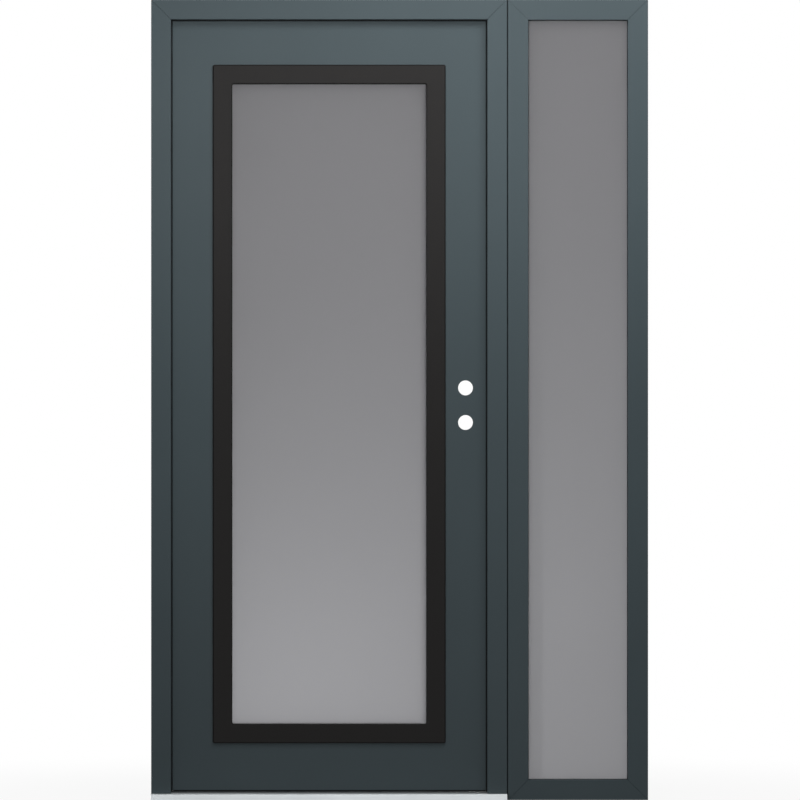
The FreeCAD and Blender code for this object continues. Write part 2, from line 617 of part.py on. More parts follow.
def lite_frame(label, y, back):
    """A one-piece surround: a bevelled flange on the skin and a rim that reaches in to the glass."""
    left, foot = f"{LEAF_LEFT} + Sizes.lite_hinge_margin", f"{LEAF_BOTTOM} + Sizes.lite_rise"
    body = new_body(label, left, y, foot)
    face, rim = "Sizes.lite_face", "(Sizes.lite_lap + Sizes.lite_fit)"
    plane = new_sketch(body, "XZ_Plane")
    draw_box(plane, "0", "0", LITE_WIDTH, LITE_HEIGHT)
    pad(body, plane, "Sizes.lite_proud", reverse=back)
    plane = new_sketch(body, "XZ_Plane")
    draw_box(plane, rim, rim, f"{LITE_WIDTH} - 2 * {rim}", f"{LITE_HEIGHT} - 2 * {rim}")
    pad(body, plane, f"(Sizes.leaf_thickness - {LEAF_UNIT}) / 2", reverse=not back)
    plane = new_sketch(body, "XZ_Plane")
    draw_box(plane, face, face, f"{LITE_WIDTH} - 2 * {face}", f"{LITE_HEIGHT} - 2 * {face}")
    cut(body, plane)
    front = value("Sizes.lite_proud") * (1 if back else -1)

    def corner_at(inset):
        """Picks the corner edges of the rectangle that lies this far inside the flange."""
        side = value(inset)
        ends = (side, value(LITE_WIDTH) - side)
        return lambda middle, direction: (
            abs(direction.y) > 0.99 and min(abs(middle.x - end) for end in ends) < 1e-4
        )

    def front_edge(middle, direction):
        return abs(middle.y - front) < 1e-4 and abs(direction.y) < 0.01

    round_edges(body, "Sizes.lite_corner", corner_at("0"))
    round_edges(body, "Sizes.sight_corner", corner_at(face))
    bevel_edges(body, "Sizes.lite_bevel", front_edge)
    return body


lite_frame("outer_lite_frame", LEAF_FRONT, False)
lite_frame("inner_lite_frame", LEAF_BACK, True)

sweep = new_body("bottom_sweep", f"{LEFT} + Sizes.frame_face + Sizes.seal_lip", LEAF_FRONT, LEAF_BOTTOM)
sketch = new_sketch(sweep, "YZ_Plane")
sheet_size, drop = "Sizes.sweep_sheet", "-Sizes.sweep_height"
fin = f"((Sizes.sweep_width - {sheet_size}) / 2)"
start = "Sizes.skin"
corners = [(start, "0")]
for number in range(3):
    near = f"{start} + {number} * {fin}"
    far = f"{near} + {sheet_size}"
    if number:
        corners.append((near, f"-{sheet_size}"))
    corners += [(near, drop), (far, drop)]
    if number < 2:
        corners.append((far, f"-{sheet_size}"))
corners.append((f"{start} + Sizes.sweep_width", "0"))
draw_outline(sketch, corners)
pad(sweep, sketch, "Sizes.door_frame_width - 2 * (Sizes.frame_face + Sizes.seal_lip)")

# Hinges: five knuckles on one pin, three on the jamb plate and two on the leaf plate.
def cut_knuckles(body, first, count):
    """Takes every other knuckle away, and the plate's neck beside it, starting with knuckle number first."""
    reach = "(Sizes.barrel_radius + Sizes.cut_margin)"
    clear = "(Sizes.barrel_radius + Sizes.barrel_stand + Sizes.knuckle_gap)"
    plane = new_sketch(body, "YZ_Plane")
    bottom = f"{first} * {KNUCKLE} - Sizes.knuckle_gap / 2"
    draw_box(plane, f"-{clear}", bottom, f"{clear} + {reach}", f"{KNUCKLE} + Sizes.knuckle_gap")
    gap = cut(body, plane)
    pattern = body.newObject("PartDesign::LinearPattern", f"{body.Name}_knuckles")
    pattern.Originals = [gap]
    pattern.Direction = (plane, ["V_Axis"])
    pattern.setExpression("Length", f"2 * {KNUCKLE} * {count - 1}")
    pattern.Occurrences = count
    body.Tip = pattern
    doc.recompute()


def hinge_plate(label, foot, plate_x, first, count):
    """One half of a hinge: a plate let into the edge, with its knuckles round the pin."""
    body = new_body(label, AXIS_X, AXIS_Y, foot)
    plate_depth = "(Sizes.barrel_radius + Sizes.barrel_stand + Sizes.hinge_seat)"
    plane = new_sketch(body, "XY_Plane")
    draw_box(plane, plate_x, f"-{plate_depth}", "Sizes.hinge_plate", plate_depth)
    pad(body, plane, "Sizes.hinge_height")
    plane = new_sketch(body, "XY_Plane")
    draw_circle(plane, "0", "0", "Sizes.barrel_radius")
    pad(body, plane, "Sizes.hinge_height")
    plane = new_sketch(body, "XY_Plane")
    draw_circle(plane, "0", "0", "Sizes.pin_radius + Sizes.pin_fit")
    cut(body, plane)
    cut_knuckles(body, first, count)
    return body


def hinge_pin(label, foot):
    """A pin with a tapered button at each end."""
    body = new_body(label, AXIS_X, AXIS_Y, foot)
    plane = new_sketch(body, "XZ_Plane")
    top = "Sizes.hinge_height + Sizes.pin_head"
    draw_outline(
        plane,
        (
            ("0", "-Sizes.pin_head"),
            ("Sizes.pin_radius", "-Sizes.pin_head"),
            ("Sizes.pin_head_radius", "0"),
            ("Sizes.pin_radius", "0"),
            ("Sizes.pin_radius", "Sizes.hinge_height"),
            ("Sizes.pin_head_radius", "Sizes.hinge_height"),
            ("Sizes.pin_radius", top),
            ("0", top),
        ),
    )
    turned = body.newObject("PartDesign::Revolution", f"{body.Name}_turn")
    turned.Profile = plane
    turned.ReferenceAxis = (plane, ["V_Axis"])
    turned.Angle = 360
    plane.Visibility = False
    doc.recompute()
    return body


def cut_hinge_seats(body, surface, edge, foot_level, depth, towards_lock):
    """Lets the hinge plates into a face at surface along X, whose inside corner is at edge along Y."""
    plane = new_sketch(body, "YZ_Plane", surface)
    fit = "Sizes.hinge_seat_fit"
    for foot in HINGE_FOOT.values():
        low = f"{foot} - {foot_level} - {fit}"
        across = f"Sizes.hinge_seat + {fit} + Sizes.cut_margin"
        draw_box(plane, f"{edge} - Sizes.hinge_seat - {fit}", low, across, f"Sizes.hinge_height + 2 * {fit}")
    cut(body, plane, depth, reverse=towards_lock)


for place, foot in HINGE_FOOT.items():
    hinge_plate(f"hinge_{place}_jamb_plate", foot, "-Sizes.leaf_gap / 2 - Sizes.hinge_plate", 1, 2)
    hinge_plate(f"hinge_{place}_leaf_plate", foot, "Sizes.leaf_gap / 2", 0, 3)
    hinge_pin(f"hinge_{place}_pin", foot)

cut_hinge_seats(hinge_jamb, JAMB_BODY, FRAME_DEPTH, "Sizes.sill_height", "Sizes.hinge_plate", False)
stile_edge = f"{LEAF_BACK} - {core_y}"
cut_hinge_seats(hinge_stile, "0", stile_edge, stile_z, "Sizes.hinge_plate - Sizes.skin", True)
cut_hinge_seats(inner_skin, "0", "0", LEAF_BOTTOM, "Sizes.hinge_plate", True)

doc.recompute()
for item in doc.Objects:
    if "Invalid" in item.State or "Error" in item.State:
        raise RuntimeError(f"{item.Label}: {item.State}")
os.makedirs("parts", exist_ok=True)
for node in nodes:
    if node.Shape.isNull() or not node.Shape.isValid():
        raise RuntimeError(f"{node.Label}: shape is not valid")
    node.Shape.exportStep(f"parts/{node.Label}.step")
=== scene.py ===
"""Looks of an entrance door with one fixed sidelight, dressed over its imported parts."""

import logging
import math
from dataclasses import dataclass
from enum import Enum
from typing import Union

import bpy
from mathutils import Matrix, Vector


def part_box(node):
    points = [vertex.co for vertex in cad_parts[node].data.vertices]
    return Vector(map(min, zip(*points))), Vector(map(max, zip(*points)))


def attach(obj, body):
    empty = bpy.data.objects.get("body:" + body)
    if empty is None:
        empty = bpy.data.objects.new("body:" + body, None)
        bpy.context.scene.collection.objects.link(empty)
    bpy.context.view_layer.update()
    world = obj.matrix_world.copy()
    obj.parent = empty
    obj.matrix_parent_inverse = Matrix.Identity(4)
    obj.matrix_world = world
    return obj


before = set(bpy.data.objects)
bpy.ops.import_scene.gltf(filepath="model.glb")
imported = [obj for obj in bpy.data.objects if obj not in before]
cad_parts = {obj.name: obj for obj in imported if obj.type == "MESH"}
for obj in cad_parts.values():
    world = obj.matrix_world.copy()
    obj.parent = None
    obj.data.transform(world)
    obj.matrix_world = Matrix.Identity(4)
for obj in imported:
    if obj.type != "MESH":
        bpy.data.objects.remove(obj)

LOG = logging.getLogger("entrance_door")
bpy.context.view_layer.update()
MM = 0.001
MADE: dict[str, bpy.types.Material] = {}

Colour = tuple[float, float, float]
Number = Union[int, float]

# Middle values of the two random patterns and of a tone.
NOISE_MIDDLE = 0.5
CELL_MIDDLE = 0.4
TONE_MIDDLE = 0.5
# Where a mitre line is full and where it ends, as shares of half its joint's width.
SEAM_CORE = 0.4
SEAM_EDGE = 1.6
# The lesser radius of a screw head and of a screw cover, as a share of the greater, and their sides.
SHANK_SHARE = 0.62
SCREW_SIDES = 28
CROWN_SHARE = 0.82
COVER_SIDES = 32
WHITE = (1.0, 1.0, 1.0, 1.0)


class Body(Enum):
    """The two bodies that pieces ride on."""

    FRAME = "frame"
    LEAF = "leaf"


class Axis(Enum):
    """The way that a drawn, sawn or brushed surface runs."""

    ALONG_X = 0
    ALONG_Z = 2

    def stretch(self, across: float, along: float) -> tuple[float, float, float]:
        """Give the scale of a pattern that is drawn out along this axis.

        Args:
            across: pattern cycles a metre across the run.
            along: pattern cycles a metre along the run.

        Returns:
            The three scales for a Mapping node.
        """
        scales = [across, across, across]
        scales[self.value] = along
        return scales[0], scales[1], scales[2]


class Wire:
    """An output socket of a shader tree, on which arithmetic adds Math nodes."""

    def __init__(self, board: "Board", socket: bpy.types.NodeSocket) -> None:
        """Keep the socket and the board that it is on."""
        self.board = board
        self.socket = socket

    def _math(self, operation: str, *values: "Wire | Number") -> "Wire":
        """Add one Math node on these values."""
        return self.board.add("ShaderNodeMath", {"operation": operation}, dict(enumerate(values)))

    def __add__(self, other: "Wire | Number") -> "Wire":
        """Sum."""
        return self._math("ADD", self, other)

    __radd__ = __add__

    def __sub__(self, other: "Wire | Number") -> "Wire":
        """Difference."""
        return self._math("SUBTRACT", self, other)

    def __rsub__(self, other: "Wire | Number") -> "Wire":
        """Difference from a number."""
        return self._math("SUBTRACT", other, self)

    def __mul__(self, other: "Wire | Number") -> "Wire":
        """Product."""
        return self._math("MULTIPLY", self, other)

    __rmul__ = __mul__

    def size(self) -> "Wire":
        """Value without its sign."""
        return self._math("ABSOLUTE", self)

    def least(self, other: "Wire | Number") -> "Wire":
        """Lower of two values."""
        return self._math("MINIMUM", self, other)

    def most(self, other: "Wire | Number") -> "Wire":
        """Higher of two values."""
        return self._math("MAXIMUM", self, other)

    def sway(self, amount: float, middle: float = NOISE_MIDDLE) -> "Wire":
        """Swing about a middle value, by an amount."""
        return (self - middle) * amount

    def between(self, low: float, high: float) -> "Wire":
        """Ease from 0 to 1.

        Args:
            low: the value that gives 0.
            high: the value that gives 1.

        Returns:
            The eased value.
        """
        return self.board.add(
            "ShaderNodeMapRange",
            {"interpolation_type": "SMOOTHSTEP"},
            {"Value": self, "From Min": low, "From Max": high, "To Min": 0.0, "To Max": 1.0},
        )


Feed = Union[Wire, Number, tuple]


class Board:
    """A shader tree, and the methods that put nodes on it."""

    def __init__(self, tree: bpy.types.NodeTree) -> None:
        """Start with an empty tree."""
        self.tree = tree
        tree.nodes.clear()

    def add(
        self,
        kind: str,
        settings: dict[str, object] | None = None,
        sockets: dict[str | int, Feed] | None = None,
        output: str | int = 0,
    ) -> Wire | None:
        """Add one node.

        Args:
            kind: the node's type.
            settings: its own settings, set before its sockets.
            sockets: a value or a wire for each named or numbered input.
            output: which output the wire leaves from.

        Returns:
            The wire, or None for a node without outputs.
        """
        node = self.tree.nodes.new(kind)
        for name, setting in (settings or {}).items():
            setattr(node, name, setting)
        for key, value in (sockets or {}).items():
            if isinstance(value, Wire):
                self.tree.links.new(value.socket, node.inputs[key])
            else:
                node.inputs[key].default_value = value
        return Wire(self, node.outputs[output]) if node.outputs else None

    def place(self) -> Wire:
        """Give the point on the piece, in metres."""
        return self.add("ShaderNodeTexCoord", output="Object")

    def axis(self, which: Axis) -> Wire:
        """Give one coordinate of the point on the piece."""
        return self.add("ShaderNodeSeparateXYZ", {}, {"Vector": self.place()}, which.value)

    def noise(self, where: Wire, scale: float, detail: float = 2.0, rough: float = 0.5) -> Wire:
        """Give a soft random value about 0.5.

        Args:
            where: the point that it is read at.
            scale: cycles a metre.
            detail: octaves.
            rough: share of the finer octaves.

        Returns:
            The value.
        """
        return self.add(
            "ShaderNodeTexNoise",
            {"noise_dimensions": "3D"},
            {"Vector": where, "Scale": scale, "Detail": detail, "Roughness": rough},
        )

    def streaks(
        self,
        run: Axis,
        across: float,
        along: float,
        detail: float = 2.0,
        rough: float = 0.5,
    ) -> Wire:
        """Give a soft random value that is drawn out along one axis.

        Args:
            run: the way that it runs.
            across: cycles a metre across the run.
            along: cycles a metre along the run.
            detail: octaves.
            rough: share of the finer octaves.

        Returns:
            The value.
        """
        scale = run.stretch(across, along)
        drawn = self.add("ShaderNodeMapping", {}, {"Vector": self.place(), "Scale": scale})
        return self.noise(drawn, 1.0, detail, rough)

    def cells(self, where: Wire, scale: float) -> Wire:
        """Give the distance to the nearest of scattered points, in cells.

        Args:
            where: the point that it is read at.
            scale: cells a metre.

        Returns:
            The distance.
        """
        return self.add(
            "ShaderNodeTexVoronoi",
            {"feature": "SMOOTH_F1"},
            {"Vector": where, "Scale": scale, "Smoothness": 0.6},
        )

    def blend(self, share: Wire | float, first: Wire | tuple, second: Wire | tuple) -> Wire:
        """Mix two colours.

        Args:
            share: how much of the second.
            first: the colour at 0.
            second: the colour at 1.

        Returns:
            The mixed colour.
        """
        return self.add(
            "ShaderNodeMix",
            {"data_type": "RGBA", "clamp_factor": True},
            {0: share, 6: opaque(first), 7: opaque(second)},
            2,
        )

    def shaded(self, tone: Wire, colour: Colour, shades: tuple[float, float]) -> Wire:
        """Vary a colour from its first shade at tone 0 to its second at tone 1."""
        return self.blend(tone, shade(colour, shades[0]), shade(colour, shades[1]))

    def relief(self, height: Wire, depth: float) -> Wire:
        """Give the normal of a surface with this height, from 0 to 1, over a depth in metres."""
        return self.add("ShaderNodeBump", {}, {"Strength": 1.0, "Distance": depth, "Height": height})

    def principled(self, **sockets: Feed) -> Wire:
        """Add a Principled shader, with socket names written with _ for a space."""
        named = {name.replace("_", " "): value for name, value in sockets.items()}
        return self.add("ShaderNodeBsdfPrincipled", {}, named)


def opaque(colour: Wire | tuple) -> Wire | tuple:
    """Give a plain colour its fourth number."""
    return colour if isinstance(colour, Wire) else (*colour, 1.0)


def shade(colour: Colour, times: float) -> Colour:
    """Give a colour made lighter or darker by a factor."""
    return colour[0] * times, colour[1] * times, colour[2] * times


def mottle(*sways: Wire, low: float = 0.0, high: float = 1.0) -> Wire:
    """Add sways to a middle tone, and ease the sum from 0 at low to 1 at high."""
    return sum(sways, TONE_MIDDLE).between(low, high)


@dataclass(frozen=True)
class Finish:
    """A finish that writes its own shader."""

    name: str

    def write(self, board: Board) -> Wire:
        """Write the shader and return its wire."""
        raise NotImplementedError

    def material(self) -> bpy.types.Material:
        """Give the Blender material, made once.

        Returns:
            The material of this finish.
        """
        if self.name not in MADE:
            made = bpy.data.materials.new(self.name)
            made.use_nodes = True
            board = Board(made.node_tree)
            board.add("ShaderNodeOutputMaterial", {}, {"Surface": self.write(board)})
            MADE[self.name] = made
        return MADE[self.name]


@dataclass(frozen=True)
class MitredFrame:
    """The outline of a frame with mitred corners, and half the width of its joints, in metres."""

    joint: float
    left: float
    right: float
    top: float
    bottom: float | None

    @classmethod
    def around(cls, nodes: tuple[str, ...], closed: bool, joint: float) -> "MitredFrame":
        """Give the outline of the frame that these nodes make.

        Args:
            nodes: the frame's members.
            closed: whether it has a mitred member at the bottom.
            joint: half the width of its joint lines.

        Returns:
            The outline.
        """
        corners = [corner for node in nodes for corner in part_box(node)]
        across = [corner.x for corner in corners]
        upright = [corner.z for corner in corners]
        return cls(joint, min(across), max(across), max(upright), min(upright) if closed else None)

    def seam(self, board: Board) -> Wire:
        """Mark the mitre lines.

        Args:
            board: the material's tree.

        Returns:
            1 on the lines and 0 off them.
        """
        x = board.axis(Axis.ALONG_X)
        z = board.axis(Axis.ALONG_Z)
        inward = (x - self.left).least(self.right - x)
        upright = self.top - z
        if self.bottom is not None:
            upright = upright.least(z - self.bottom)
        return 1 - (inward - upright).size().between(self.joint * SEAM_CORE, self.joint * SEAM_EDGE)


@dataclass(frozen=True)
class PowderCoat(Finish):
    """A satin powder coat: fine orange peel, a faint cloud in colour and gloss, and dark mitre lines."""

    colour: Colour
    gloss_loss: float = 0.44
    peel: float = 1.6 * MM
    peel_depth: float = 0.035 * MM
    frames: tuple[MitredFrame, ...] = ()
    sheen_level: float = 0.12
    clouds_a_metre: float = 1.7
    flecks_a_metre: float = 2600.0
    smears_a_metre: float = 5.0
    shades: tuple[float, float] = (0.9, 1.1)
    seam_shade: float = 0.16
    seam_share: float = 0.8
    seam_sink: float = 4.0

    def write(self, board: Board) -> Wire:
        """Write the coat.

        Args:
            board: the material's tree.

        Returns:
            The shader.
        """
        where = board.place()
        cloud = board.noise(where, self.clouds_a_metre, detail=3.0)
        peel = board.noise(where, 1.0 / self.peel, rough=0.55)
        fleck = board.noise(where, self.flecks_a_metre, detail=1.0)
        smear = board.noise(where, self.smears_a_metre)
        tone = mottle(cloud.sway(0.9), peel.sway(0.5), fleck.sway(0.5))
        colour = board.shaded(tone, self.colour, self.shades)
        height = peel
        for outline in self.frames:
            seam = outline.seam(board)
            colour = board.blend(seam * self.seam_share, colour, shade(self.colour, self.seam_shade))
            height = height - seam * self.seam_sink
        return board.principled(
            Base_Color=colour,
            Roughness=self.gloss_loss + smear.sway(0.1) + peel.sway(0.08),
            Specular_IOR_Level=self.sheen_level,
            Normal=board.relief(height, self.peel_depth),
        )


@dataclass(frozen=True)
class MouldedSurround(Finish):
    """A dark satin surround with the fine sandy grain of a textured coat."""

    colour: Colour
    gloss_loss: float = 0.5
    grain: float = 0.7 * MM
    grain_depth: float = 0.05 * MM
    sheen_level: float = 0.135
    clouds_a_metre: float = 2.4
    shades: tuple[float, float] = (0.84, 1.18)

    def write(self, board: Board) -> Wire:
        """Write the surround.

        Args:
            board: the material's tree.

        Returns:
            The shader.
        """
        where = board.place()
        sand = board.cells(where, 1.0 / self.grain)
        cloud = board.noise(where, self.clouds_a_metre, detail=3.0)
        tone = mottle(cloud.sway(0.8), sand.sway(0.4, CELL_MIDDLE))
        return board.principled(
            Base_Color=board.shaded(tone, self.colour, self.shades),
            Roughness=self.gloss_loss + cloud.sway(0.12) + sand.sway(0.08, CELL_MIDDLE),
            Specular_IOR_Level=self.sheen_level,
            Normal=board.relief(sand, self.grain_depth),
        )


@dataclass(frozen=True)
class SatinGlass(Finish):
    """Grey glass with an etched face: it glows with the light behind it."""

    front: Colour
    through: Colour
    through_share: float = 0.86
    gloss_loss: float = 0.4
    sheen_level: float = 0.5
    etch_a_metre: float = 1900.0
    etch_depth: float = 0.012 * MM
    clouds_a_metre: float = 1.1
    front_shades: tuple[float, float] = (0.95, 1.05)
    through_shades: tuple[float, float] = (0.98, 1.02)

    def write(self, board: Board) -> Wire:
        """Write the etched glass.

        Args:
            board: the material's tree.

        Returns:
            The shader.
        """
        where = board.place()
        etch = board.noise(where, self.etch_a_metre, rough=0.6)
        cloud = board.noise(where, self.clouds_a_metre)
        tone = mottle(cloud.sway(0.7), etch.sway(0.3))
        face = board.principled(
            Base_Color=board.shaded(tone, self.front, self.front_shades),
            Roughness=self.gloss_loss + etch.sway(0.16),
            Specular_IOR_Level=self.sheen_level,
            Normal=board.relief(etch, self.etch_depth),
        )
        lit = board.shaded(tone, self.through, self.through_shades)
        glow = board.add("ShaderNodeBsdfTranslucent", {}, {"Color": lit})
        return board.add("ShaderNodeMixShader", {}, {0: self.through_share, 1: face, 2: glow})


@dataclass(frozen=True)
class ClearGlass(Finish):
    """Clear float glass, which shows what is behind it and mirrors a little."""

    tint: Colour
    face_shade: float = 0.2
    gloss_loss: float = 0.04
    sheen_level: float = 1.0
    ripples_a_metre: float = 3.0
    mirror_ahead: float = 0.04
    mirror_gain: float = 0.9

    def write(self, board: Board) -> Wire:
        """Write the clear glass.

        Args:
            board: the material's tree.

        Returns:
            The shader.
        """
        slant = board.add("ShaderNodeLayerWeight", {}, {"Blend": 0.5}, "Facing")
        # The fifth power of the slant stands for how glass mirrors, alike on both faces of a pane.
        grazing = slant * slant * slant * slant * slant
        ripple = board.noise(board.place(), self.ripples_a_metre, detail=1.0)
        clear = board.add("ShaderNodeBsdfTransparent", {}, {"Color": opaque(self.tint)})
        face = board.principled(
            Base_Color=opaque(shade(self.tint, self.face_shade)),
            Roughness=self.gloss_loss + ripple * 0.03,
            Specular_IOR_Level=self.sheen_level,
        )
        mirror = grazing * self.mirror_gain + self.mirror_ahead
        return board.add("ShaderNodeMixShader", {}, {0: mirror, 1: clear, 2: face})


@dataclass(frozen=True)
class SealRubber(Finish):
    """Black extruded rubber with a grey bloom and fine lines along its run."""

    colour: Colour
    run: Axis
    gloss_loss: float = 0.68
    sheen_level: float = 0.12
    blooms_a_metre: float = 24.0
    lines_a_metre: float = 1500.0
    line_depth: float = 0.03 * MM
    shades: tuple[float, float] = (0.7, 1.6)

    def write(self, board: Board) -> Wire:
        """Write the rubber.

        Args:
            board: the material's tree.

        Returns:
            The shader.
        """
        bloom = board.noise(board.place(), self.blooms_a_metre, detail=4.0, rough=0.6)
        lines = board.streaks(self.run, self.lines_a_metre, along=6.0)
        tone = (bloom * 0.7 + lines * 0.3).between(0.3, 0.8)
        return board.principled(
            Base_Color=board.shaded(tone, self.colour, self.shades),
            Roughness=self.gloss_loss + bloom.sway(0.2),
            Specular_IOR_Level=self.sheen_level,
            Normal=board.relief(lines, self.line_depth),
        )


@dataclass(frozen=True)
class DrawnMetal(Finish):
    """Bare metal with the fine lines of drawing or brushing along one axis."""

    colour: Colour
    run: Axis
    gloss_loss: float
    lines_a_metre: float = 1400.0
    metal: float = 1.0
    line_depth: float = 0.012 * MM
    bands_a_metre: float = 160.0
    smears_a_metre: float = 9.0
    shades: tuple[float, float] = (0.88, 1.08)

    def write(self, board: Board) -> Wire:
        """Write the metal.

        Args:
            board: the material's tree.

        Returns:
            The shader.
        """
        fine = board.streaks(self.run, self.lines_a_metre, along=3.0, detail=3.0, rough=0.6)
        broad = board.streaks(self.run, self.bands_a_metre, along=1.2)
        smear = board.noise(board.place(), self.smears_a_metre, detail=3.0)
        tone = mottle(fine.sway(1.2), broad.sway(0.6))
        return board.principled(
            Base_Color=board.shaded(tone, self.colour, self.shades),
            Metallic=self.metal,
            Roughness=self.gloss_loss + fine.sway(0.22) + smear.sway(0.14),
            Normal=board.relief(fine, self.line_depth),
        )


@dataclass(frozen=True)
class SealedTimber(Finish):
    """Edge timber under a dark sealer, with its grain along the piece."""

    colour: Colour
    run: Axis
    gloss_loss: float = 0.5
    sheen_level: float = 0.35
    waves_a_metre: float = 14.0
    rings_a_metre: float = 260.0
    pores_a_metre: float = 1500.0
    grain_depth: float = 0.12 * MM
    shades: tuple[float, float] = (0.55, 1.5)

    def write(self, board: Board) -> Wire:
        """Write the timber.

        Args:
            board: the material's tree.

        Returns:
            The shader.
        """
        wave = board.streaks(self.run, self.waves_a_metre, along=1.2)
        grain = board.streaks(self.run, self.rings_a_metre, along=5.0, detail=4.0, rough=0.65)
        pores = board.streaks(self.run, self.pores_a_metre, along=40.0)
        tone = mottle(grain.sway(1.3), wave.sway(0.8), pores.sway(-0.5), low=0.05, high=0.95)
        return board.principled(
            Base_Color=board.shaded(tone, self.colour, self.shades),
            Roughness=self.gloss_loss + grain.sway(0.25),
            Specular_IOR_Level=self.sheen_level,
            Normal=board.relief(grain * 0.7 + pores * 0.3, self.grain_depth),
        )


@dataclass(frozen=True)
class CoreFoam(Finish):
    """Rigid foam with open cut cells."""

    colour: Colour
    gloss_loss: float = 0.9
    sheen_level: float = 0.2
    cells_a_metre: float = 900.0
    cell_depth: float = 0.3 * MM
    shades: tuple[float, float] = (1.08, 0.7)

    def write(self, board: Board) -> Wire:
        """Write the foam.

        Args:
            board: the material's tree.

        Returns:
            The shader.
        """
        pits = board.cells(board.place(), self.cells_a_metre)
        return board.principled(
            Base_Color=board.shaded(pits.between(0.1, 0.7), self.colour, self.shades),
            Roughness=self.gloss_loss - pits * 0.1,
            Specular_IOR_Level=self.sheen_level,
            Normal=board.relief(1 - pits, self.cell_depth),
        )


SLATE: Colour = (0.0576, 0.0780, 0.0866)
RUBBER_COLOUR: Colour = (0.008, 0.009, 0.010)
TIMBER_COLOUR: Colour = (0.090, 0.078, 0.066)

DOOR_MEMBERS = ("hinge_jamb", "lock_jamb", "door_head")
SIDELIGHT_SIDES = ("left_stile", "right_stile", "top_rail", "bottom_rail")
SIDELIGHT_MEMBERS = tuple(f"sidelight_{side}" for side in SIDELIGHT_SIDES)
SIDELIGHT_BEADS = tuple(f"{member}_bead" for member in SIDELIGHT_MEMBERS)
DOOR_OUTLINE = MitredFrame.around(DOOR_MEMBERS, closed=False, joint=0.6 * MM)
SIDELIGHT_OUTLINE = MitredFrame.around(SIDELIGHT_MEMBERS, closed=True, joint=0.35 * MM)
BEAD_OUTLINE = MitredFrame.around(SIDELIGHT_BEADS, closed=True, joint=0.35 * MM)

FRAME_COAT = PowderCoat("slate_coat_frame", SLATE, frames=(DOOR_OUTLINE, SIDELIGHT_OUTLINE))
BEAD_COAT = PowderCoat("slate_coat_beads", SLATE, frames=(BEAD_OUTLINE,))
LEAF_COAT = PowderCoat("slate_coat_leaf", SLATE, gloss_loss=0.42, peel=1.9 * MM)
SURROUND = MouldedSurround("dark_surround", (0.0122, 0.0113, 0.0110))
ETCHED = SatinGlass("etched_glass", (0.2, 0.198, 0.204), (0.83, 0.813, 0.833))
CLEAR = ClearGlass("clear_glass", (0.93, 0.95, 0.945))
SILL_METAL = DrawnMetal("drawn_aluminium", (0.73, 0.772, 0.79), Axis.ALONG_X, 0.4, metal=0.6)
# Painted shade: the saddle's grey is the sill's drawn aluminium darkened to 0.44, for the shaded strip
# under the leaf, not an anodised colour.
SHADED_SADDLE_METAL = DrawnMetal("saddle_metal_painted_shade", (0.32, 0.338, 0.345), Axis.ALONG_X, 0.44, metal=0.7)
SPACER_METAL = DrawnMetal("mill_spacer", (0.5, 0.5, 0.51), Axis.ALONG_Z, 0.4)
HINGE_METAL = DrawnMetal("brushed_steel", (0.56, 0.56, 0.555), Axis.ALONG_Z, 0.3, 1100.0)
UPRIGHT_RUBBER = SealRubber("seal_rubber_upright", RUBBER_COLOUR, Axis.ALONG_Z)
LEVEL_RUBBER = SealRubber("seal_rubber_level", RUBBER_COLOUR, Axis.ALONG_X)
UPRIGHT_TIMBER = SealedTimber("edge_timber_upright", TIMBER_COLOUR, Axis.ALONG_Z)
LEVEL_TIMBER = SealedTimber("edge_timber_level", TIMBER_COLOUR, Axis.ALONG_X)
FOAM = CoreFoam("rigid_foam", (0.72, 0.64, 0.42))


def dress(node: str, finish: Finish) -> None:
    """Give a CAD node its finish.

    Args:
        node: the node's name.
        finish: what its surface is.
    """
    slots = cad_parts[node].data.materials
    slots.clear()
    slots.append(finish.material())
    LOG.info("dressed %s with %s", node, finish.name)


class Input(Enum):
    """The kinds of named input that a pattern's tree has."""

    LENGTH = "NodeSocketFloat"
    VECTOR = "NodeSocketVector"
    WHOLE = "NodeSocketInt"
    FINISH = "NodeSocketMaterial"


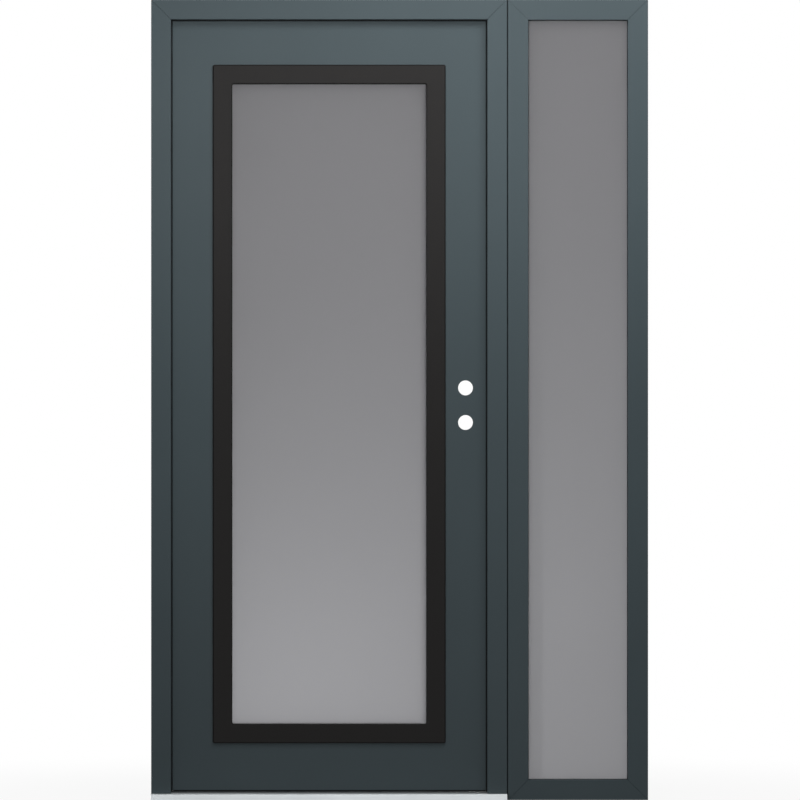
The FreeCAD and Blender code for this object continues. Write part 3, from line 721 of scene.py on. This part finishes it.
class PatternTree:
    """A Geometry Nodes tree with named inputs, which ends in real faces with a material."""

    def __init__(self, name: str, sizes: dict[str, Input]) -> None:
        """Make the tree and its named inputs.

        Args:
            name: the tree's name.
            sizes: the name and kind of each input.
        """
        self.group = bpy.data.node_groups.new(name, "GeometryNodeTree")
        self.keys: dict[str, str] = {}
        face = self.group.interface
        face.new_socket("Geometry", in_out="INPUT", socket_type="NodeSocketGeometry")
        for label, kind in sizes.items():
            item = face.new_socket(label, in_out="INPUT", socket_type=kind.value)
            self.keys[label] = item.identifier
        face.new_socket("Geometry", in_out="OUTPUT", socket_type="NodeSocketGeometry")
        self.inputs = self.group.nodes.new("NodeGroupInput").outputs

    def add(
        self,
        kind: str,
        settings: dict[str, object],
        sockets: dict[str | int, object],
        output: str | int = 0,
    ) -> bpy.types.NodeSocket:
        """Add one node.

        Args:
            kind: the node's type.
            settings: its own settings, set first.
            sockets: a value, a socket or a list of sockets for each input.
            output: which output to hand back.

        Returns:
            The output socket.
        """
        node = self.group.nodes.new(kind)
        for name, setting in settings.items():
            setattr(node, name, setting)
        for key, value in sockets.items():
            for feed in value if isinstance(value, list) else [value]:
                if isinstance(feed, bpy.types.NodeSocket):
                    self.group.links.new(feed, node.inputs[key])
                else:
                    node.inputs[key].default_value = feed
        return node.outputs[output]

    def close(self, shape: bpy.types.NodeSocket) -> None:
        """End the tree in real faces with the material that is asked for.

        Args:
            shape: the instances that the tree has made.
        """
        faces = self.add("GeometryNodeRealizeInstances", {}, {"Geometry": shape})
        finish = self.inputs["Finish"]
        dressed = self.add("GeometryNodeSetMaterial", {}, {"Geometry": faces, "Material": finish})
        end = self.group.nodes.new("NodeGroupOutput")
        self.group.links.new(dressed, end.inputs[0])

    def grow(self, name: str, points: list[Vector], values: dict[str, object]) -> bpy.types.Object:
        """Run the tree on points and keep its faces as a plain mesh.

        Args:
            name: the piece's name.
            points: where the copies go.
            values: a value for every named input.

        Returns:
            The finished piece, at the origin.
        """
        mesh = bpy.data.meshes.new(name)
        mesh.from_pydata([tuple(point) for point in points], [], [])
        piece = bpy.data.objects.new(name, mesh)
        modifier = piece.modifiers.new("pattern", "NODES")
        modifier.node_group = self.group
        for label, value in values.items():
            modifier[self.keys[label]] = value
        bpy.context.scene.collection.objects.link(piece)
        evaluated = piece.evaluated_get(bpy.context.evaluated_depsgraph_get())
        grown = bpy.data.meshes.new_from_object(evaluated)
        piece.modifiers.clear()
        piece.data = grown
        grown.name = name
        return piece


def screw_tree() -> PatternTree:
    """Make the tree of countersunk cross-head screws.

    Returns:
        The tree, whose points are the middles of the heads' top faces.
    """
    tree = PatternTree(
        "countersunk_screws",
        {
            "Head Radius": Input.LENGTH,
            "Head Depth": Input.LENGTH,
            "Cross Length": Input.LENGTH,
            "Cross Width": Input.LENGTH,
            "Turn": Input.VECTOR,
            "Seed": Input.WHOLE,
            "Finish": Input.FINISH,
        },
    )
    size = tree.inputs
    times = {"operation": "MULTIPLY"}
    shank = tree.add("ShaderNodeMath", times, {0: size["Head Radius"], 1: SHANK_SHARE})
    cone = tree.add(
        "GeometryNodeMeshCone",
        {"fill_type": "NGON"},
        {
            "Vertices": SCREW_SIDES,
            "Radius Top": size["Head Radius"],
            "Radius Bottom": shank,
            "Depth": size["Head Depth"],
        },
    )
    drop = tree.add("ShaderNodeMath", times, {0: size["Head Depth"], 1: -1.0})
    below = tree.add("ShaderNodeCombineXYZ", {}, {"Z": drop})
    head = tree.add("GeometryNodeTransform", {}, {"Geometry": cone, "Translation": below})
    bars = []
    for along, across in (("X", "Y"), ("Y", "X")):
        bar_size = tree.add(
            "ShaderNodeCombineXYZ",
            {},
            {along: size["Cross Length"], across: size["Cross Width"], "Z": size["Head Depth"]},
        )
        bars.append(tree.add("GeometryNodeMeshCube", {}, {"Size": bar_size}))
    drive = tree.add("GeometryNodeMeshBoolean", {"operation": "UNION"}, {"Mesh 2": bars})
    cut = tree.add(
        "GeometryNodeMeshBoolean", {"operation": "DIFFERENCE"}, {"Mesh 1": head, "Mesh 2": drive}
    )
    placed = tree.add(
        "GeometryNodeInstanceOnPoints",
        {},
        {"Points": size["Geometry"], "Instance": cut, "Rotation": size["Turn"]},
    )
    spin = tree.add(
        "FunctionNodeRandomValue",
        {"data_type": "FLOAT"},
        {2: 0.0, 3: math.tau, "Seed": size["Seed"]},
        1,
    )
    about = tree.add("ShaderNodeCombineXYZ", {}, {"Z": spin})
    turned = tree.add(
        "GeometryNodeRotateInstances", {}, {"Instances": placed, "Rotation": about, "Local Space": True}
    )
    tree.close(turned)
    return tree


def plug_tree() -> PatternTree:
    """Make the tree of screw covers set at an even pitch round a rectangle.

    Returns:
        The tree, which sets its covers on a path and needs no points of its own.
    """
    tree = PatternTree(
        "screw_covers",
        {
            "Width": Input.LENGTH,
            "Height": Input.LENGTH,
            "Pitch": Input.LENGTH,
            "Cover Radius": Input.LENGTH,
            "Rise": Input.LENGTH,
            "Middle": Input.VECTOR,
            "Finish": Input.FINISH,
        },
    )
    size = tree.inputs
    path = tree.add(
        "GeometryNodeCurvePrimitiveQuadrilateral",
        {"mode": "RECTANGLE"},
        {"Width": size["Width"], "Height": size["Height"]},
    )
    spots = tree.add(
        "GeometryNodeCurveToPoints",
        {"mode": "LENGTH"},
        {"Curve": path, "Length": size["Pitch"]},
    )
    crown = tree.add(
        "ShaderNodeMath",
        {"operation": "MULTIPLY"},
        {0: size["Cover Radius"], 1: CROWN_SHARE},
    )
    cover = tree.add(
        "GeometryNodeMeshCone",
        {"fill_type": "NGON"},
        {
            "Vertices": COVER_SIDES,
            "Radius Top": crown,
            "Radius Bottom": size["Cover Radius"],
            "Depth": size["Rise"],
        },
    )
    placed = tree.add("GeometryNodeInstanceOnPoints", {}, {"Points": spots, "Instance": cover})
    upright = tree.add(
        "GeometryNodeTransform",
        {},
        {
            "Geometry": placed,
            "Translation": size["Middle"],
            "Rotation": (-math.pi / 2, 0.0, 0.0),
        },
    )
    tree.close(upright)
    return tree


def mount(piece: bpy.types.Object, body: Body) -> None:
    """Make a finished piece ride on a body.

    Args:
        piece: the piece, in place.
        body: what it moves with.
    """
    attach(piece, body.value)
    LOG.info("built %s, %d faces, on %s", piece.name, len(piece.data.polygons), body.value)


@dataclass
class DoorFrame:
    """Jambs, head, weather seals and the strip that couples the sidelight."""

    members: tuple[str, ...] = DOOR_MEMBERS
    upright_seals: tuple[str, ...] = ("hinge_side_seal", "lock_side_seal", "coupling_strip")

    def dress(self) -> None:
        """Coat the members and give the seals their rubber."""
        for node in self.members:
            dress(node, FRAME_COAT)
        for node in self.upright_seals:
            dress(node, UPRIGHT_RUBBER)
        dress("head_seal", LEVEL_RUBBER)


@dataclass
class Sill:
    """The aluminium sill and the saddle on it."""

    tread: str = "door_sill"
    saddle: str = "sill_saddle"

    def dress(self) -> None:
        """Give both their drawn metal; the saddle's darker grey is painted shade on the sill's metal."""
        dress(self.tread, SILL_METAL)
        dress(self.saddle, SHADED_SADDLE_METAL)


@dataclass
class Sidelight:
    """The fixed sidelight: four members, its glass, gaskets and beads."""

    members: tuple[str, ...] = SIDELIGHT_MEMBERS
    beads: tuple[str, ...] = SIDELIGHT_BEADS
    gaskets: tuple[str, ...] = ("sidelight_outer_gasket", "sidelight_inner_gasket")

    def dress(self) -> None:
        """Coat the members and beads, and finish the glazing."""
        for node in self.members:
            dress(node, FRAME_COAT)
        for node in self.beads:
            dress(node, BEAD_COAT)
        for node in self.gaskets:
            dress(node, UPRIGHT_RUBBER)
        dress("sidelight_outer_pane", ETCHED)
        dress("sidelight_inner_pane", CLEAR)
        dress("sidelight_spacer", SPACER_METAL)


@dataclass
class DoorLeaf:
    """The swinging leaf: skins, edge timber, core, surrounds and glass."""

    cover_pitch: float = 236.0 * MM
    cover_radius: float = 5.0 * MM
    cover_rise: float = 0.7 * MM
    cover_sunk: float = 0.2 * MM
    surround_face: float = 49.2 * MM

    def dress(self) -> None:
        """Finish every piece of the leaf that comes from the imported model."""
        for node in ("outer_skin", "inner_skin"):
            dress(node, LEAF_COAT)
        for node in ("hinge_stile", "lock_stile", "lock_block"):
            dress(node, UPRIGHT_TIMBER)
        for node in ("top_rail", "bottom_rail"):
            dress(node, LEVEL_TIMBER)
        dress("leaf_core", FOAM)
        for node in ("outer_lite_frame", "inner_lite_frame"):
            dress(node, SURROUND)
        dress("lite_outer_pane", ETCHED)
        dress("lite_inner_pane", CLEAR)
        dress("lite_spacer", SPACER_METAL)
        dress("bottom_sweep", LEVEL_RUBBER)

    def build_covers(self) -> None:
        """Set screw covers round the surround on the room side."""
        low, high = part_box("inner_lite_frame")
        middle = ((low.x + high.x) / 2, high.y - self.cover_sunk, (low.z + high.z) / 2)
        covers = plug_tree().grow(
            "surround_screw_covers",
            [Vector()],
            {
                "Width": high.x - low.x - self.surround_face,
                "Height": high.z - low.z - self.surround_face,
                "Pitch": self.cover_pitch,
                "Cover Radius": self.cover_radius,
                "Rise": self.cover_rise,
                "Middle": middle,
                "Finish": SURROUND.material(),
            },
        )
        mount(covers, Body.LEAF)


@dataclass
class HingeSet:
    """Three butt hinges with their screws."""

    places: tuple[str, ...] = ("top", "middle", "bottom")
    screw_heights: tuple[float, ...] = (-38.0 * MM, -13.0 * MM, 13.0 * MM, 38.0 * MM)
    screw_rows: tuple[float, float] = (20.5 * MM, 35.0 * MM)
    edge_gap: float = 5.0 * MM
    proud: float = 0.1 * MM
    head_radius: float = 4.0 * MM
    head_depth: float = 1.6 * MM
    cross_length: float = 4.6 * MM
    cross_width: float = 1.0 * MM
    seed: int = 11

    def dress(self) -> None:
        """Brush the plates and pins."""
        for place in self.places:
            for part in ("jamb_plate", "leaf_plate", "pin"):
                dress(f"hinge_{place}_{part}", HINGE_METAL)

    def screw_points(self, face: float) -> list[Vector]:
        """Give the middles of the screw heads on one side.

        Args:
            face: where the plates' bare faces lie.

        Returns:
            The points, two staggered rows on each plate.
        """
        points = []
        for place in self.places:
            low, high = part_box(f"hinge_{place}_jamb_plate")
            middle = (low.z + high.z) / 2
            for count, height in enumerate(self.screw_heights):
                points.append(Vector((face, self.screw_rows[count % 2], middle + height)))
        return points

    def build_screws(self) -> None:
        """Screw the plates to the jamb and to the leaf."""
        tree = screw_tree()
        leaf_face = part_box("outer_skin")[0].x
        jamb_face = leaf_face - self.edge_gap
        sides = (
            ("hinge_screws_jamb", Body.FRAME, jamb_face + self.proud, math.pi / 2),
            ("hinge_screws_leaf", Body.LEAF, leaf_face - self.proud, -math.pi / 2),
        )
        for name, body, face, turn in sides:
            screws = tree.grow(
                name,
                self.screw_points(face),
                {
                    "Head Radius": self.head_radius,
                    "Head Depth": self.head_depth,
                    "Cross Length": self.cross_length,
                    "Cross Width": self.cross_width,
                    "Turn": (0.0, turn, 0.0),
                    "Seed": self.seed,
                    "Finish": HINGE_METAL.material(),
                },
            )
            mount(screws, body)


@dataclass(frozen=True)
class SoftBox:
    """A soft rectangular lamp."""

    name: str
    place: tuple[float, float, float]
    aim: tuple[float, float, float]
    width: float
    height: float
    watts: float

    def hang(self) -> None:
        """Put the lamp in the scene."""
        lamp = bpy.data.lights.new(self.name, "AREA")
        lamp.shape = "RECTANGLE"
        lamp.size = self.width
        lamp.size_y = self.height
        lamp.energy = self.watts
        hung = bpy.data.objects.new(self.name, lamp)
        hung.location = self.place
        sight = Vector(self.aim) - Vector(self.place)
        hung.rotation_euler = sight.to_track_quat("-Z", "Y").to_euler()
        hung.visible_camera = False
        bpy.context.scene.collection.objects.link(hung)


@dataclass
class Studio:
    """Pale floor, white surroundings, soft lamps and a long lens from straight ahead."""

    lens_distance: float = 17.0
    view_side: float = 2.0307
    view_middle: tuple[float, float] = (1.0 * MM, 1.0157)
    face_plane: float = -45.0 * MM
    sensor: float = 36.0
    clip: tuple[float, float] = (0.1, 200.0)
    floor_side: float = 16.0
    floor_level: float = -0.4 * MM
    floor_grey: Colour = (0.4, 0.4, 0.4)
    floor_white: float = 0.92
    floor_fade: tuple[float, float] = (0.5, 2.4)
    floor_mirrored: float = 0.5
    surround_light: float = 0.1
    mirrored_light: float = 0.5
    lamps: tuple[SoftBox, ...] = (
        SoftBox("key_above", (0.6, -1.2, 2.65), (0.3, 0.0, 1.75), 1.2, 0.6, 21.4),
        SoftBox("left_wash", (-0.3, -1.5, 1.85), (-0.2, 0.0, 1.6), 1.6, 0.7, 12.2),
        SoftBox("low_fill", (0.0, -5.0, 0.25), (0.0, 0.0, 0.3), 4.0, 0.4, 28.0),
        SoftBox("left_fill", (-4.0, 0.0, 1.2), (0.0, 0.0, 1.0), 2.0, 2.4, 10.0),
        SoftBox("right_fill", (4.0, 0.0, 1.2), (0.0, 0.0, 1.0), 2.0, 2.4, 10.0),
        SoftBox("room_far", (0.25, 3.0, 0.25), (0.15, 0.0, 0.4), 0.25, 0.2, 30.4),
        SoftBox("room_low", (0.36, 1.3, 0.22), (0.32, 0.0, 0.22), 0.2, 0.1, 1.5),
        SoftBox("room_near", (-0.36, 0.75, 0.22), (-0.34, 0.0, 0.2), 0.12, 0.05, 1.3),
    )

    def place_camera(self) -> None:
        """Set up the camera at the photograph's viewpoint."""
        data = bpy.data.cameras.new("front_camera")
        data.sensor_width = self.sensor
        data.lens = self.sensor * self.lens_distance / self.view_side
        data.clip_start, data.clip_end = self.clip
        camera = bpy.data.objects.new("front_camera", data)
        across, upright = self.view_middle
        camera.location = (across, self.face_plane - self.lens_distance, upright)
        camera.rotation_euler = (math.pi / 2, 0.0, 0.0)
        bpy.context.scene.collection.objects.link(camera)
        bpy.context.scene.camera = camera

    def lay_floor(self) -> None:
        """Lay a pale floor that keeps the shadow near the door and fades into the white."""
        half = self.floor_side / 2
        level = self.floor_level
        mesh = bpy.data.meshes.new("studio_floor")
        mesh.from_pydata(
            [(-half, -half, level), (half, -half, level), (half, half, level), (-half, half, level)],
            [],
            [(0, 1, 2, 3)],
        )
        floor = bpy.data.objects.new("studio_floor", mesh)
        bpy.context.scene.collection.objects.link(floor)
        pale = bpy.data.materials.new("studio_floor")
        pale.use_nodes = True
        board = Board(pale.node_tree)
        reach = board.add("ShaderNodeVectorMath", {"operation": "LENGTH"}, {0: board.place()}, 1)
        seen = self.seen_share(board, self.floor_mirrored)
        white = board.add("ShaderNodeEmission", {}, {"Color": WHITE, "Strength": 1.0})
        matt = board.add("ShaderNodeBsdfDiffuse", {}, {"Color": opaque(self.floor_grey)})
        fade = reach.between(*self.floor_fade)
        share = seen * (self.floor_white + (1.0 - self.floor_white) * fade)
        mixed = board.add("ShaderNodeMixShader", {}, {0: share, 1: matt, 2: white})
        board.add("ShaderNodeOutputMaterial", {}, {"Surface": mixed})
        mesh.materials.append(pale)

    def seen_share(self, board: Board, mirrored: float) -> Wire:
        """Tell rays that show the white surroundings from rays that only light.

        Args:
            board: the shader tree.
            mirrored: how much of the white a mirroring surface shows.

        Returns:
            1 for what is seen straight or through glass, mirrored for what is mirrored, 0 for light.
        """
        straight = board.add("ShaderNodeLightPath", output="Is Camera Ray")
        glass = board.add("ShaderNodeLightPath", output="Is Transmission Ray")
        mirror = board.add("ShaderNodeLightPath", output="Is Glossy Ray")
        soft = board.add("ShaderNodeLightPath", output="Is Diffuse Ray")
        return straight.most(glass - soft).most(mirror * mirrored)

    def light_surroundings(self) -> None:
        """Make the surroundings white to the eye and a plain soft light on the door."""
        world = bpy.data.worlds.new("studio")
        world.use_nodes = True
        bpy.context.scene.world = world
        board = Board(world.node_tree)
        level = self.surround_light
        mirrored = (self.mirrored_light - level) / (1.0 - level)
        strength = level + (1.0 - level) * self.seen_share(board, mirrored)
        sky = board.add("ShaderNodeBackground", {}, {"Color": WHITE, "Strength": strength})
        board.add("ShaderNodeOutputWorld", {}, {"Surface": sky})

    def build(self) -> None:
        """Set up the whole studio."""
        bpy.context.scene.view_settings.view_transform = "Standard"
        self.place_camera()
        self.lay_floor()
        self.light_surroundings()
        for lamp in self.lamps:
            lamp.hang()


def main() -> None:
    """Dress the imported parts, add the small pieces and set up the studio."""
    logging.basicConfig(level=logging.INFO, format="%(message)s")
    DoorFrame().dress()
    Sill().dress()
    Sidelight().dress()
    leaf = DoorLeaf()
    leaf.dress()
    leaf.build_covers()
    hinges = HingeSet()
    hinges.dress()
    hinges.build_screws()
    Studio().build()


if __name__ == "__main__":
    main()
